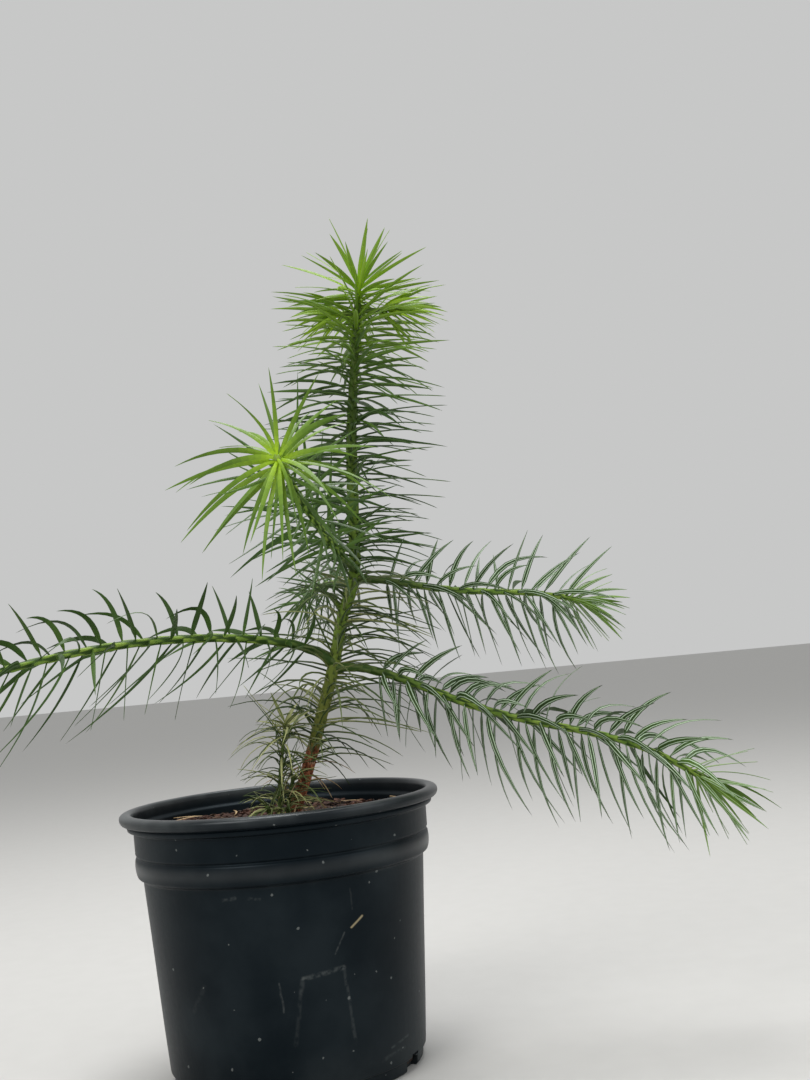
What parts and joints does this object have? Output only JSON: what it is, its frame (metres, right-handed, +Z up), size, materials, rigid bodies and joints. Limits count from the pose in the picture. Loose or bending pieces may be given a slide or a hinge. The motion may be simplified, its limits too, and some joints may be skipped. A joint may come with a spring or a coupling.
{
  "type": "potted china fir sapling",
  "caption": "Young conifer with a leaning trunk, spreading boughs of long narrow needles and a bright crown, growing in a round black nursery pot filled with bark mix.",
  "frame": {"origin": "centre of the pot's flat underside, at the level the pot stands on", "axes": "+Z up along the pot's axis; seen from the front, looking along +Y, the trunk leans towards +X (right), and the long left bough reaches towards -X"},
  "size_m": [0.4525, 0.3584, 0.4418],
  "materials": {
    "pot": "satin black moulded plastic, dusty and lightly scuffed",
    "potting_mix": "damp composted bark chips",
    "bark": "flaky red-brown young bark, green above",
    "green_stem": "smooth green young stem",
    "needles_old": "dull olive-green needles",
    "needles": "semi-gloss dark green needles with paler undersides",
    "needles_young": "semi-gloss bright yellow-green new needles"
  },
  "bodies": {
    "root": {"pot": "pot", "potting_mix": "potting_mix", "trunk": "bark", "bough_left": "green_stem", "bough_right_low": "green_stem", "bough_right_high": "green_stem", "bough_front": "green_stem", "bough_back": "green_stem", "needles_leader_tip": "needles_young", "shoot_top_left": "needles_young", "shoot_top_right": "needles_young", "shoot_top_back": "needles_young", "needles_left": "needles", "needles_right_low": "needles", "needles_right_high": "needles", "needles_front": "needles_young", "needles_back": "needles", "needles_trunk_foot": "needles_old", "needles_trunk_low": "needles_old", "needles_trunk_mid": "needles", "needles_trunk_high": "needles", "needles_trunk_top": "needles_young", "basal_sprout": "needles_old"}
  },
  "joints": []
}
